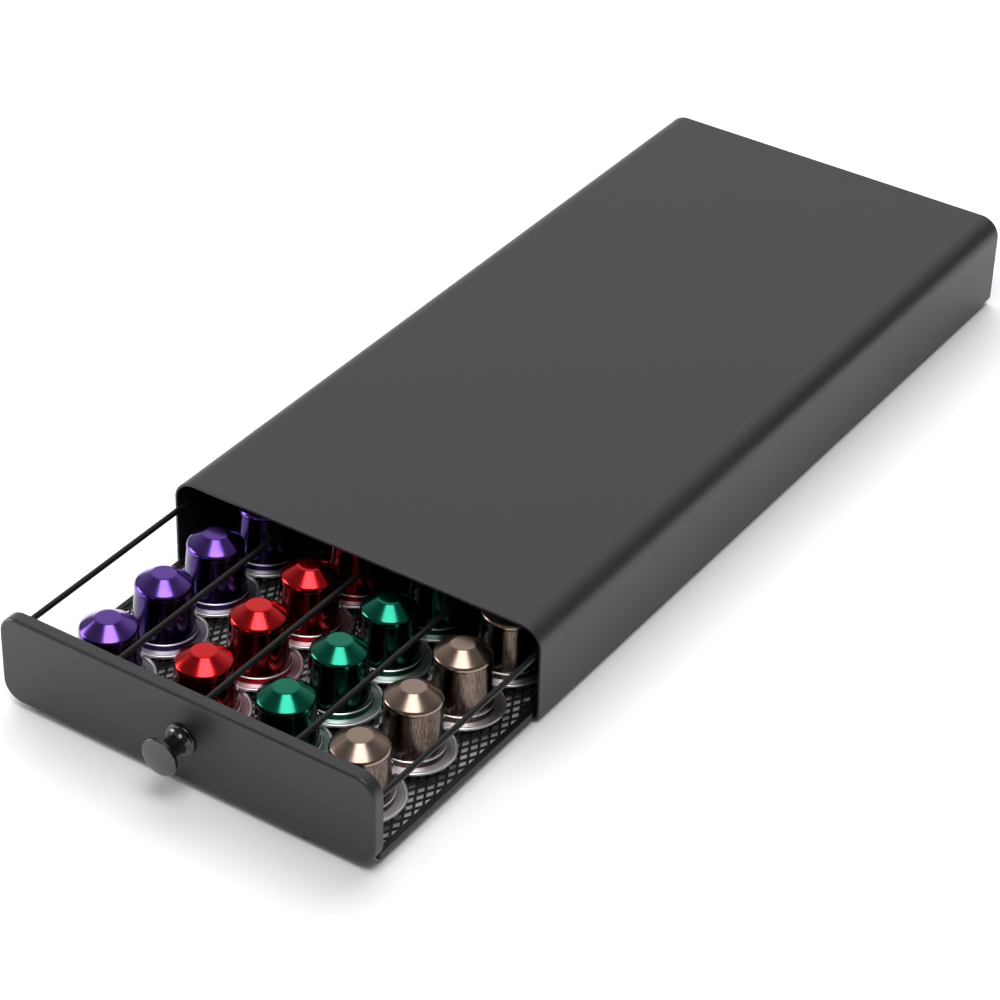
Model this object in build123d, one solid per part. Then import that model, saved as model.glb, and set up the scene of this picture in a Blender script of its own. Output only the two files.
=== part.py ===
from build123d import *
import math
import os

# Coffee pod drawer: a bent steel housing that a machine can stand on, with a wire drawer under it.
# Millimetres. X is the width, Y runs from the drawer's front (-Y) to the back, Z is up.
# The origin is the middle of the part's footprint, on the table, with the drawer as photographed.

# The pods set the lanes, the lanes set the drawer's width, and the drawer sets the housing's width.

# ---- driving dimensions: housing ----
HOUSING_DEPTH = 396.0
SHELL_HEIGHT = 44.5
SHEET = 1.2                   # steel sheet of the housing and the front panel
TOP_BEND_RADIUS = 9.5         # outside
BASE_BEND_RADIUS = 3.0        # outside
FLANGE_WIDTH = 10.0           # inward base flange, from the outer wall

BACK_INSET = 0.6              # back panel behind the shell's rear edge
BACK_FLANGE = 10.0            # its folded edges, forwards
BACK_FIT = 0.15               # gap between the back panel and the shell

STRAP_LENGTH = 12.0           # base strap, along Y
STRAP_FROM_MOUTH = 60.0
STRAP_THICKNESS = 1.0
WELD_GAP = 0.1

PAD_THICKNESS = 1.0
PAD_LENGTH = 22.0
PAD_FROM_END = 26.0           # pad centre to the shell's front or rear edge
PAD_EDGE = 0.5                # pad edge to the flange's flat edges

RIVET_SHANK_RADIUS = 1.5
RIVET_HOLE_GAP = 0.1
RIVET_HEAD_RADIUS = 2.6
RIVET_HEAD_HEIGHT = 0.7
RIVET_FROM_FRONT = 4.5        # rivet centre behind the front edge of the back panel's flange

# ---- driving dimensions: drawer ----
OPEN_AT_REST = 104.7          # travel from shut to the pose of the photograph
CLOSED_GAP = 0.3              # panel rim to housing mouth when shut
REAR_GAP = 2.0                # drawer to back panel when shut
RUN_GAP = 0.3                 # frame bars above the base flanges
SIDE_GAP = 1.0                # frame bars to the side walls

PANEL_SIDE_INSET = 0.5        # panel edge inside the housing's side, seen from the front
PANEL_TOP_INSET = 1.9         # panel edge below the housing's top
PANEL_DEPTH = 6.0
PANEL_CORNER = 9.0
PANEL_BEND = 2.0              # outside bend of its front edge
PANEL_GROUND_GAP = 2.6

BAR_WIDTH = 2.8
WIRE_RADIUS = 1.3             # rails, dividers and posts
WIRE_BELOW_PANEL = 10.3       # highest line of the rails and the dividers, under the panel's top edge
WIRE_BEND = 7.0               # centre line radius
RAIL_END_GAP = 0.3            # side rails' ends to the back of the panel's sheet
LANE_PLAY = 6.1               # lane's width from wire to wire, more than a pod's rim
OUTER_LANE_EXTRA = 1.1        # how much wider the two outer lanes are
DIVIDER_SETBACK = 0.7         # rear legs in front of the rear bar's middle

MESH_THICKNESS = 0.8
MESH_BELOW_BAR = 0.1          # mesh top under the bars' top
MESH_BORDER = 3.0
MESH_STRAND = 1.1             # half width of a strand, measured along X
MESH_COLUMNS = 9
MESH_ROWS = 17

SUPPORT_WIRE_RADIUS = 1.2
SUPPORT_WIRE_X = 32.0
SUPPORT_FIT = 0.05
SUPPORT_BELOW_BAR = 0.05      # lowest line of the support wires under the bars
STOP_TAB_WIDTH = 12.0
STOP_TAB_THICKNESS = 1.5
STOP_TAB_X = 60.0
STOP_TAB_OVERLAP = 0.7        # height by which a tab catches the strap

# ---- driving dimensions: knob and feet ----
KNOB_HEAD_RADIUS = 8.2
KNOB_BASE_RADIUS = 7.0
KNOB_NECK_RADIUS = 4.2
KNOB_PROJECTION = 15.0
KNOB_HEAD_EDGE = 1.6
KNOB_DOME = 1.0
KNOB_FLAT = 1.0               # radius of the flat middle of the domed face
KNOB_BASE_EDGE = 1.2
KNOB_FLARE_LENGTH = 3.6       # base edge to waist
KNOB_SPREAD_LENGTH = 4.2      # waist to head
KNOB_HOLLOW = 0.3             # how far the two flares sag inwards, 0.5 is straight
KNOB_BORE_DEPTH = 9.0
SCREW_RADIUS = 2.0
SCREW_GAP = 0.05              # screw in the knob's bore
SCREW_HOLE_GAP = 0.2          # screw in the panel and the washer
SCREW_HEAD_RADIUS = 3.6
SCREW_HEAD_HEIGHT = 2.2
WASHER_RADIUS = 5.0
WASHER_THICKNESS = 0.8

FOOT_RADIUS = 1.9
FOOT_STEM_RADIUS = 1.1
FOOT_STEM_GAP = 0.1
FOOT_COLLAR_RADIUS = 1.7
FOOT_COLLAR_HEIGHT = 0.9
FOOT_X = 57.0
FOOT_FROM_FACE = 3.7          # foot centre behind the panel's front face

# ---- driving dimensions: pods ----
POD_RIM_RADIUS = 18.55
POD_RIM_THICKNESS = 0.7
POD_BEAD_RADIUS = 0.75        # sealing bead round the rim
POD_BASE_RADIUS = 13.6
POD_SHOULDER_RADIUS = 11.8
POD_SHOULDER_HEIGHT = 25.0
POD_TIP_RADIUS = 4.9
POD_HEIGHT = 30.0
POD_OVERLAP = 3.3             # how far a pod's rim lies on the rim of the pod in front
POD_STACK_GAP = 0.15          # between those two rims
POD_SEAT_GAP = 0.03           # between a leaning pod's rear edge and the mesh
POD_ROWS = 4
POD_COLOURS = ["purple", "red", "green", "bronze"]
POD_LANE_START = [3.65, 8.65, 9.15, 1.65]     # first rim behind the front bar, one for each lane
POD_LANE_SHIFT = [4.35, 4.6, 0.9, -2.35]      # pods beside the lane's middle, to the right

# ---- sizes that follow ----
LANE_PITCH = 2 * POD_RIM_RADIUS + LANE_PLAY
RAIL_X = 2 * LANE_PITCH + OUTER_LANE_EXTRA
BAR_OUTER_X = RAIL_X + WIRE_RADIUS
INNER_HALF_WIDTH = BAR_OUTER_X + SIDE_GAP
HOUSING_WIDTH = 2 * (INNER_HALF_WIDTH + SHEET)
SUPPORT_STACK = 2 * SUPPORT_WIRE_RADIUS + SUPPORT_FIT + MESH_THICKNESS
BAR_HEIGHT = SUPPORT_STACK + MESH_BELOW_BAR - SUPPORT_BELOW_BAR
POD_PITCH = 2 * POD_RIM_RADIUS - POD_OVERLAP
POD_LEAN = math.degrees(math.atan((2 * POD_BEAD_RADIUS + POD_STACK_GAP) / POD_PITCH))
PANEL_WIDTH = HOUSING_WIDTH - 2 * PANEL_SIDE_INSET
PANEL_HEIGHT = PAD_THICKNESS + SHELL_HEIGHT - PANEL_TOP_INSET - PANEL_GROUND_GAP

# ---- places that follow ----
KNOB_TIP_FROM_MOUTH = OPEN_AT_REST + CLOSED_GAP + PANEL_DEPTH + KNOB_PROJECTION
MOUTH_Y = (KNOB_TIP_FROM_MOUTH - HOUSING_DEPTH) / 2
SHELL_BOTTOM = PAD_THICKNESS
FLANGE_TOP = SHELL_BOTTOM + SHEET
FLANGE_EDGE_X = HOUSING_WIDTH / 2 - FLANGE_WIDTH
FLANGE_FLAT_X = HOUSING_WIDTH / 2 - BASE_BEND_RADIUS
FLANGE_MIDDLE_X = (FLANGE_EDGE_X + FLANGE_FLAT_X) / 2
BACK_PLATE_REAR_Y = MOUTH_Y + HOUSING_DEPTH - BACK_INSET
BACK_FLANGE_FRONT_Y = BACK_PLATE_REAR_Y - SHEET - BACK_FLANGE

RIM_Y = MOUTH_Y - OPEN_AT_REST - CLOSED_GAP
PANEL_FACE_Y = RIM_Y - PANEL_DEPTH
PANEL_MIDDLE_Z = PANEL_GROUND_GAP + PANEL_HEIGHT / 2
FRAME_REAR_Y = BACK_FLANGE_FRONT_Y - REAR_GAP - OPEN_AT_REST
BAR_INNER_X = BAR_OUTER_X - BAR_WIDTH
BAR_BOTTOM = FLANGE_TOP + RUN_GAP
BAR_TOP = BAR_BOTTOM + BAR_HEIGHT
FLOOR_FRONT_Y = RIM_Y + BAR_WIDTH
FLOOR_REAR_Y = FRAME_REAR_Y - BAR_WIDTH
MESH_TOP = BAR_TOP - MESH_BELOW_BAR
MESH_BOTTOM = MESH_TOP - MESH_THICKNESS
WIRE_Z = PANEL_GROUND_GAP + PANEL_HEIGHT - WIRE_BELOW_PANEL - WIRE_RADIUS
RAIL_REAR_Y = FRAME_REAR_Y - WIRE_RADIUS


def box_between(low, high):
    """A box from its lowest to its highest corner."""
    size = [b - a for a, b in zip(low, high)]
    return Pos(*low) * Box(*size, align=(Align.MIN, Align.MIN, Align.MIN))


def wire(points, bend, radius):
    """A round wire along straight runs joined by bends of one radius."""
    path = FilletPolyline(*points, radius=bend) if len(points) > 2 else Line(*points)
    section = Plane(origin=path @ 0, z_dir=path % 0) * Circle(radius)
    return sweep(section, path=path)


def round_bar(radius, height, bottom):
    """An upright cylinder on its bottom centre."""
    return Pos(*bottom) * Cylinder(radius, height, align=(Align.CENTER, Align.CENTER, Align.MIN))


# ---- housing ----
def shell_section(inset):
    """The housing's rounded outline, taken in by inset, standing on the X axis."""
    outline = Rectangle(HOUSING_WIDTH - 2 * inset, SHELL_HEIGHT - 2 * inset)
    outline = fillet(outline.vertices().group_by(Axis.Y)[-1], TOP_BEND_RADIUS - inset)
    outline = fillet(outline.vertices().group_by(Axis.Y)[0], BASE_BEND_RADIUS - inset)
    return Pos(0, SHELL_HEIGHT / 2) * outline


def rivet_places():
    y = BACK_FLANGE_FRONT_Y + RIVET_FROM_FRONT
    return [(side * FLANGE_MIDDLE_X, y) for side in (-1, 1)]


def housing_shell():
    base_gap = Pos(0, SHEET / 2) * Rectangle(HOUSING_WIDTH - 2 * FLANGE_WIDTH, 2 * SHEET)
    section = shell_section(0) - shell_section(SHEET) - base_gap
    shell = Pos(0, MOUTH_Y, SHELL_BOTTOM) * extrude(Plane.XZ * section, amount=-HOUSING_DEPTH)
    for x, y in rivet_places():
        shell -= round_bar(RIVET_SHANK_RADIUS + RIVET_HOLE_GAP, 3 * SHEET, (x, y, SHELL_BOTTOM - SHEET))
    return shell


def back_panel():
    inset = SHEET + BACK_FIT
    plate = extrude(Plane.XZ * shell_section(inset), amount=SHEET)
    panel = Pos(0, BACK_PLATE_REAR_Y, SHELL_BOTTOM) * plate
    half_width = HOUSING_WIDTH / 2 - inset
    low_z = SHELL_BOTTOM + inset
    high_z = SHELL_BOTTOM + SHELL_HEIGHT - inset
    front = BACK_FLANGE_FRONT_Y
    rear = BACK_PLATE_REAR_Y - SHEET / 2
    flat_x = HOUSING_WIDTH / 2 - TOP_BEND_RADIUS
    panel += box_between((-flat_x, front, high_z - SHEET), (flat_x, rear, high_z))
    base_x = FLANGE_FLAT_X
    panel += box_between((-base_x, front, low_z), (base_x, rear, low_z + SHEET))
    for side in (-1, 1):
        inner, outer = sorted((side * (half_width - SHEET), side * half_width))
        wall_low = SHELL_BOTTOM + 2 * BASE_BEND_RADIUS
        wall_high = SHELL_BOTTOM + SHELL_HEIGHT - TOP_BEND_RADIUS
        panel += box_between((inner, front, wall_low), (outer, rear, wall_high))
    for x, y in rivet_places():
        panel -= round_bar(RIVET_SHANK_RADIUS + RIVET_HOLE_GAP, 3 * SHEET, (x, y, low_z - SHEET))
    return panel


def back_rivets():
    """Blind rivets through the base flange and the back panel's lower fold."""
    grip_top = SHELL_BOTTOM + 2 * SHEET + BACK_FIT
    rivets = []
    for x, y in rivet_places():
        head = round_bar(RIVET_HEAD_RADIUS, RIVET_HEAD_HEIGHT, (x, y, SHELL_BOTTOM - RIVET_HEAD_HEIGHT))
        shank = round_bar(RIVET_SHANK_RADIUS, grip_top - SHELL_BOTTOM, (x, y, SHELL_BOTTOM))
        bulge = round_bar(RIVET_HEAD_RADIUS, RIVET_HEAD_HEIGHT, (x, y, grip_top))
        rivets.append(head + shank + bulge)
    return Compound(rivets)


def base_strap():
    half = FLANGE_EDGE_X - WELD_GAP
    front = MOUTH_Y + STRAP_FROM_MOUTH
    return box_between(
        (-half, front, SHELL_BOTTOM), (half, front + STRAP_LENGTH, SHELL_BOTTOM + STRAP_THICKNESS)
    )


def foot_pad(side, y):
    width = FLANGE_FLAT_X - FLANGE_EDGE_X - 2 * PAD_EDGE
    outline = RectangleRounded(width, PAD_LENGTH, width / 2 - PAD_EDGE)
    return Pos(side * FLANGE_MIDDLE_X, y, 0) * extrude(outline, amount=PAD_THICKNESS)


# ---- drawer: front panel, knob and feet ----
def foot_places():
    y = PANEL_FACE_Y + FOOT_FROM_FACE
    return {"left": (-FOOT_X, y), "right": (FOOT_X, y)}


def panel_block(inset):
    """The pan's outer form, or its hollow when taken in by the sheet."""
    width = PANEL_WIDTH - 2 * inset
    height = PANEL_HEIGHT - 2 * inset
    outline = Plane.XZ * RectangleRounded(width, height, PANEL_CORNER - inset)
    block = extrude(outline, amount=-(PANEL_DEPTH - inset))
    block = fillet(block.faces().sort_by(Axis.Y)[0].edges(), PANEL_BEND - inset)
    return Pos(0, PANEL_FACE_Y + inset, PANEL_MIDDLE_Z) * block


def front_panel():
    panel = panel_block(0) - panel_block(SHEET)
    screw_hole = Cylinder(SCREW_RADIUS + SCREW_HOLE_GAP, 4 * SHEET, rotation=(90, 0, 0))
    panel -= Pos(0, PANEL_FACE_Y, PANEL_MIDDLE_Z) * screw_hole
    for x, y in foot_places().values():
        panel -= round_bar(FOOT_STEM_RADIUS + FOOT_STEM_GAP, 3 * SHEET, (x, y, PANEL_GROUND_GAP - SHEET))
    return panel


def knob():
    """A turned knob: flared base, waist and a thin domed head, along -Y."""
    tip = KNOB_PROJECTION
    rim = tip - KNOB_DOME
    head_back = rim - KNOB_HEAD_EDGE
    flare = KNOB_BASE_RADIUS - KNOB_NECK_RADIUS
    spread = KNOB_HEAD_RADIUS - KNOB_NECK_RADIUS
    waist_low = KNOB_BASE_EDGE + KNOB_FLARE_LENGTH
    waist_high = head_back - KNOB_SPREAD_LENGTH
    outline = [
        Polyline((0, 0), (KNOB_BASE_RADIUS, 0), (KNOB_BASE_RADIUS, KNOB_BASE_EDGE)),
        ThreePointArc(
            (KNOB_BASE_RADIUS, KNOB_BASE_EDGE),
            (KNOB_NECK_RADIUS + KNOB_HOLLOW * flare, KNOB_BASE_EDGE + KNOB_HOLLOW * KNOB_FLARE_LENGTH),
            (KNOB_NECK_RADIUS, waist_low),
        ),
        Line((KNOB_NECK_RADIUS, waist_low), (KNOB_NECK_RADIUS, waist_high)),
        ThreePointArc(
            (KNOB_NECK_RADIUS, waist_high),
            (KNOB_NECK_RADIUS + KNOB_HOLLOW * spread, head_back - KNOB_HOLLOW * KNOB_SPREAD_LENGTH),
            (KNOB_HEAD_RADIUS, head_back),
        ),
        Line((KNOB_HEAD_RADIUS, head_back), (KNOB_HEAD_RADIUS, rim)),
        ThreePointArc((KNOB_HEAD_RADIUS, rim), (KNOB_HEAD_RADIUS / 2, tip - KNOB_DOME / 4), (KNOB_FLAT, tip)),
        Polyline((KNOB_FLAT, tip), (0, tip), (0, 0)),
    ]
    body = revolve(make_face(Curve() + outline), axis=Axis.Y)
    bore = Cylinder(
        SCREW_RADIUS + SCREW_GAP, KNOB_BORE_DEPTH, rotation=(-90, 0, 0),
        align=(Align.CENTER, Align.CENTER, Align.MIN),
    )
    return Pos(0, PANEL_FACE_Y, PANEL_MIDDLE_Z) * Rotation(0, 0, 180) * (body - bore)


def along_y(radius, length, start_y):
    """A cylinder along +Y from start_y, on the knob's axis."""
    turned = Cylinder(radius, length, rotation=(-90, 0, 0), align=(Align.CENTER, Align.CENTER, Align.MIN))
    return Pos(0, start_y, PANEL_MIDDLE_Z) * turned


def knob_washer():
    start = PANEL_FACE_Y + SHEET
    return along_y(WASHER_RADIUS, WASHER_THICKNESS, start) - along_y(
        SCREW_RADIUS + SCREW_HOLE_GAP, WASHER_THICKNESS, start
    )


def knob_screw():
    seat = PANEL_FACE_Y + SHEET + WASHER_THICKNESS
    tip = PANEL_FACE_Y - KNOB_BORE_DEPTH + 1.0
    screw = along_y(SCREW_RADIUS, seat - tip, tip) + along_y(SCREW_HEAD_RADIUS, SCREW_HEAD_HEIGHT, seat)
    slot_depth = SCREW_HEAD_HEIGHT / 2
    for width, height in ((SCREW_RADIUS * 2, 0.8), (0.8, SCREW_RADIUS * 2)):
        cut = Box(width, slot_depth, height, align=(Align.CENTER, Align.MAX, Align.CENTER))
        screw -= Pos(0, seat + SCREW_HEAD_HEIGHT, PANEL_MIDDLE_Z) * cut
    return screw


def panel_foot(x, y):
    """A push-in peg: domed foot, stem through the pan's lower fold, collar inside."""
    peg = Cylinder(FOOT_RADIUS, PANEL_GROUND_GAP, align=(Align.CENTER, Align.CENTER, Align.MIN))
    peg = fillet(peg.edges().sort_by(Axis.Z)[0], FOOT_RADIUS * 0.6)
    stem = round_bar(FOOT_STEM_RADIUS, SHEET, (0, 0, PANEL_GROUND_GAP))
    collar = round_bar(FOOT_COLLAR_RADIUS, FOOT_COLLAR_HEIGHT, (0, 0, PANEL_GROUND_GAP + SHEET))
    return Pos(x, y, 0) * (peg + stem + collar)


# ---- drawer: frame, floor and wires ----
def frame_bars():
    side_low = (BAR_INNER_X, RIM_Y, BAR_BOTTOM)
    side_high = (BAR_OUTER_X, FRAME_REAR_Y, BAR_TOP)
    right = box_between(side_low, side_high)
    left = box_between((-BAR_OUTER_X, RIM_Y, BAR_BOTTOM), (-BAR_INNER_X, FRAME_REAR_Y, BAR_TOP))
    front = box_between((-BAR_INNER_X, RIM_Y, BAR_BOTTOM), (BAR_INNER_X, FLOOR_FRONT_Y, BAR_TOP))
    rear = box_between((-BAR_INNER_X, FLOOR_REAR_Y, BAR_BOTTOM), (BAR_INNER_X, FRAME_REAR_Y, BAR_TOP))
    return {"left": left, "right": right, "front": front, "rear": rear}


def mesh_floor():
    """Expanded metal as one holed face: staggered diamonds inside a plain border."""
    width = 2 * BAR_INNER_X
    length = FLOOR_REAR_Y - FLOOR_FRONT_Y
    pitch_x = (width - 2 * MESH_BORDER) / MESH_COLUMNS
    pitch_y = (length - 2 * MESH_BORDER) / MESH_ROWS
    half_x = pitch_x / 2 - MESH_STRAND
    half_y = half_x * pitch_y / pitch_x
    diamond = Polygon((-half_x, 0), (0, -half_y), (half_x, 0), (0, half_y), align=None)
    places = []
    for shift in (0, 1):
        for column in range(MESH_COLUMNS - shift):
            for row in range(MESH_ROWS - shift):
                x = (column + (1 + shift) / 2 - MESH_COLUMNS / 2) * pitch_x
                y = (row + (1 + shift) / 2 - MESH_ROWS / 2) * pitch_y
                places.append(Pos(x, y) * diamond)
    outline = Rectangle(width, length).face()
    net = Face(outline.outer_wire(), [gap.face().outer_wire() for gap in places])
    middle_y = (FLOOR_FRONT_Y + FLOOR_REAR_Y) / 2
    return Pos(0, middle_y, MESH_BOTTOM) * extrude(net, amount=MESH_THICKNESS)


def support_wire(side):
    x = side * SUPPORT_WIRE_X
    z = MESH_BOTTOM - SUPPORT_FIT - SUPPORT_WIRE_RADIUS
    return wire([(x, FLOOR_FRONT_Y, z), (x, FLOOR_REAR_Y, z)], 0, SUPPORT_WIRE_RADIUS)


def side_rail(side):
    """A straight wire from the back of the panel to the drawer's rear."""
    x = side * RAIL_X
    start_y = PANEL_FACE_Y + SHEET + RAIL_END_GAP
    return wire([(x, start_y, WIRE_Z), (x, FRAME_REAR_Y, WIRE_Z)], 0, WIRE_RADIUS)


def rear_rail():
    """A straight wire between the rear ends of the side rails, carried by two posts."""
    half = RAIL_X - WIRE_RADIUS - WELD_GAP
    return wire([(-half, RAIL_REAR_Y, WIRE_Z), (half, RAIL_REAR_Y, WIRE_Z)], 0, WIRE_RADIUS)


def rail_post(x):
    return round_bar(WIRE_RADIUS, WIRE_Z - WIRE_RADIUS - BAR_TOP, (x, RAIL_REAR_Y, BAR_TOP))


def lane_divider(x):
    """A wire that stands on the front and rear bars and runs level between its two bends."""
    front_y = RIM_Y + BAR_WIDTH / 2
    rear_y = FRAME_REAR_Y - BAR_WIDTH / 2 - DIVIDER_SETBACK
    points = [(x, front_y, BAR_TOP), (x, front_y, WIRE_Z), (x, rear_y, WIRE_Z), (x, rear_y, BAR_TOP)]
    return wire(points, WIRE_BEND, WIRE_RADIUS)


def stop_tab(side):
    low = SHELL_BOTTOM + STRAP_THICKNESS - STOP_TAB_OVERLAP
    half = STOP_TAB_WIDTH / 2
    x = side * STOP_TAB_X
    rear = FRAME_REAR_Y
    return box_between((x - half, rear - STOP_TAB_THICKNESS, low), (x + half, rear, BAR_BOTTOM))


# ---- pods ----
def lane_centres():
    wires = [-RAIL_X, -LANE_PITCH, 0, LANE_PITCH, RAIL_X]
    return [(a + b) / 2 for a, b in zip(wires, wires[1:])]


def pod():
    """A filled pod standing on its lid: rim with a bead, tapered body, coned top with a flat tip."""
    profile = Polyline(
        (0, 0),
        (POD_RIM_RADIUS - POD_BEAD_RADIUS, 0),
        (POD_RIM_RADIUS - POD_BEAD_RADIUS, POD_RIM_THICKNESS),
        (POD_BASE_RADIUS, POD_RIM_THICKNESS),
        (POD_SHOULDER_RADIUS, POD_SHOULDER_HEIGHT),
        (POD_TIP_RADIUS, POD_HEIGHT),
        (0, POD_HEIGHT),
        (0, 0),
    )
    body = revolve(Plane.XZ * make_face(profile), axis=Axis.Z)
    bead = Pos(0, 0, POD_BEAD_RADIUS) * Torus(POD_RIM_RADIUS - POD_BEAD_RADIUS, POD_BEAD_RADIUS)
    return body + bead


def seated_pod(x, y, leaning):
    """The first pod of a lane stands flat. Each one behind it leans back, its rim on the one in front."""
    if not leaning:
        return Pos(x, y, MESH_TOP) * pod()
    lean = math.radians(POD_LEAN)
    rear_drop = (POD_RIM_RADIUS - POD_BEAD_RADIUS) * math.sin(lean)
    lift = rear_drop + POD_BEAD_RADIUS * (1 - math.cos(lean)) + POD_SEAT_GAP
    return Pos(x, y, MESH_TOP + lift) * Rotation(-POD_LEAN, 0, 0) * pod()


def save(name, shape):
    export_step(shape, os.path.join("parts", name + ".step"))


def build():
    os.makedirs("parts", exist_ok=True)
    sides = {"left": -1, "right": 1}

    save("housing_shell", housing_shell())
    save("back_panel", back_panel())
    save("back_rivets", back_rivets())
    save("base_strap", base_strap())
    for side, sign in sides.items():
        save("foot_pad_front_" + side, foot_pad(sign, MOUTH_Y + PAD_FROM_END))
        save("foot_pad_rear_" + side, foot_pad(sign, MOUTH_Y + HOUSING_DEPTH - PAD_FROM_END))

    save("front_panel", front_panel())
    save("knob", knob())
    save("knob_washer", knob_washer())
    save("knob_screw", knob_screw())
    for side, place in foot_places().items():
        save("panel_foot_" + side, panel_foot(*place))

    for name, bar in frame_bars().items():
        save("frame_bar_" + name, bar)
    save("mesh_floor", mesh_floor())
    save("rear_rail_wire", rear_rail())
    lanes = lane_centres()
    for side, sign in sides.items():
        save("side_rail_" + side, side_rail(sign))
        save("support_wire_" + side, support_wire(sign))
        save("stop_tab_" + side, stop_tab(sign))
        save("rail_post_" + side, rail_post(sign * lanes[-1]))
    for name, x in (("left", -LANE_PITCH), ("centre", 0), ("right", LANE_PITCH)):
        save("lane_divider_" + name, lane_divider(x))

    for colour, x, shift, start in zip(POD_COLOURS, lanes, POD_LANE_SHIFT, POD_LANE_START):
        first_y = FLOOR_FRONT_Y + start + POD_RIM_RADIUS
        for row in range(POD_ROWS):
            placed = seated_pod(x + shift, first_y + row * POD_PITCH, row > 0)
            save("pod_%s_%d" % (colour, row + 1), placed)

    slide_max = (FRAME_REAR_Y - STOP_TAB_THICKNESS) - (MOUTH_Y + STRAP_FROM_MOUTH + STRAP_LENGTH)
    print("mouth at y", round(MOUTH_Y, 3), "travel from rest to the stop", round(slide_max, 3))


build()
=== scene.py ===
import math
import bmesh
import bpy
from mathutils import Matrix, Vector


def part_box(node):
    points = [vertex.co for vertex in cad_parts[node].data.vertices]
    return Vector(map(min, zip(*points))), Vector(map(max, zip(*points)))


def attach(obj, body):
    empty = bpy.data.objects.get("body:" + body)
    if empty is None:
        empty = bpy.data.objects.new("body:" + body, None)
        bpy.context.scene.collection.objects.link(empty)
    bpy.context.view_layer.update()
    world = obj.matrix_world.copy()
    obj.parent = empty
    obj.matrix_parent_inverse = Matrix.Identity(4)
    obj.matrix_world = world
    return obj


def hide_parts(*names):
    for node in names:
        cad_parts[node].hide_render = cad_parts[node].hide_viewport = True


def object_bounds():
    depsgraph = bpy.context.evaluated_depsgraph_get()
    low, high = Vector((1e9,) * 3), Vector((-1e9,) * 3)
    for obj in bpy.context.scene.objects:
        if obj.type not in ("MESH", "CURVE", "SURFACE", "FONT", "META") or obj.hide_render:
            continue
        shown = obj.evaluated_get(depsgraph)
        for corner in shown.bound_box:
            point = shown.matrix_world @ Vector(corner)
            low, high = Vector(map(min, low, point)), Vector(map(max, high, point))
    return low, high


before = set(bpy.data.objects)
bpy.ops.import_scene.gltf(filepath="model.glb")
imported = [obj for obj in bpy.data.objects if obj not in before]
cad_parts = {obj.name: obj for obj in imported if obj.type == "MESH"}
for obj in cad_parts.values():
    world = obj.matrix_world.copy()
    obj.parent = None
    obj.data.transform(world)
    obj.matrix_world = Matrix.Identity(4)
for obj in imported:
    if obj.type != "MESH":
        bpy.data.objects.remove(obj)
cad_low, cad_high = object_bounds()

# Coffee pod drawer. X runs across it, Y from the drawer's front to the housing's back, Z up.
# Lengths are in millimetres, and MM turns them to metres where a mesh is made.
MM = 0.001
HOUSING, DRAWER = "housing", "drawer"
SIDES = ("left", "right")

# ---- sizes of the steelwork, the same as in the part ----
MOUTH_Y = -135.0              # the housing's open front
SHELL_DEPTH = 396.0
SHELL_HALF = 91.0             # half the housing's width
SHELL_BOTTOM = 1.0
SHELL_TOP = 45.5
SHEET = 1.2                   # thickness of all the sheet
TOP_BEND = 9.5                # outer radius of the bends along the top
BASE_BEND = 3.0
FLANGE_EDGE_X = 81.0          # inner edge of the base flanges
BACK_INSET = 1.35             # back panel inside the shell's outline
BACK_REAR_Y = 260.4
BACK_FRONT_Y = 249.2
BACK_BEND = 1.6
PANEL_HALF = 90.5
PANEL_LOW = 2.6
PANEL_HIGH = 43.6
PANEL_FACE_Y = -246.0
PANEL_RIM_Y = -240.0
PANEL_CORNER = 9.0
WIRE_RADIUS = 1.3
WIRE_BEND = 7.0
SUPPORT_RADIUS = 1.2

# ---- details that only this model has, or has finer than the part ----
PANEL_BEND = 1.4              # the part's is 2 mm, and the photograph's looks sharper
LIP = 0.32                    # rounding of a cut sheet edge
LIP_STEPS = 3
BASE_BEND_STEPS, TOP_BEND_STEPS = 7, 18
LOW_CORNER_STEPS, HIGH_CORNER_STEPS = 8, 14    # of a pan
SMALLEST_CORNER = 0.2
SMALLEST_FOLD = 0.3
FACE_RING = 1.8               # the flat face starts this many bends inside the outline
BAR_EDGE = 0.45               # softened edge of a square bar
WIRE_SIDES, WIRE_BEND_STEPS = 24, 12
NET_COLUMNS, NET_ROWS = 42, 51
STRAND_WIDTH, STRAND_THICKNESS = 1.0, 0.62
STRAND_TILT = 0.3             # radians

# ---- a pod's sizes, as radius or (radius, height) above its lid ----
POD_SIDES = 72
POD_HEIGHT = 30.0
POD_PITCH, RIM_STEP = 33.8, 1.65
POD_LEAN = math.atan(RIM_STEP / POD_PITCH)
LID_HEIGHT = 0.14
BEAD_RING, BEAD_RADIUS = 17.8, 0.75
FLANGE_OUTER, FLANGE_WIDTH, FLANGE_TOP = 16.3, 2.0, 0.78
RIBS, RIB_STEPS, RIB_HEIGHT = 4, 8, 0.16
BODY_FOOT, BODY_TOP = (13.22, 4.4), (11.95, 23.0)
DRAWN_TOP = 24.2              # the streaks and the painted shade of the drawn body end here
SHOULDER_CENTRE, SHOULDER_RADIUS = (9.75, 23.95), 2.25
CONE_FOOT, CONE_TOP = (11.18, 25.72), (5.63, 29.47)
RIM, LACQUER, BRIGHT = 0, 1, 2    # order of a pod's finishes

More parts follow.
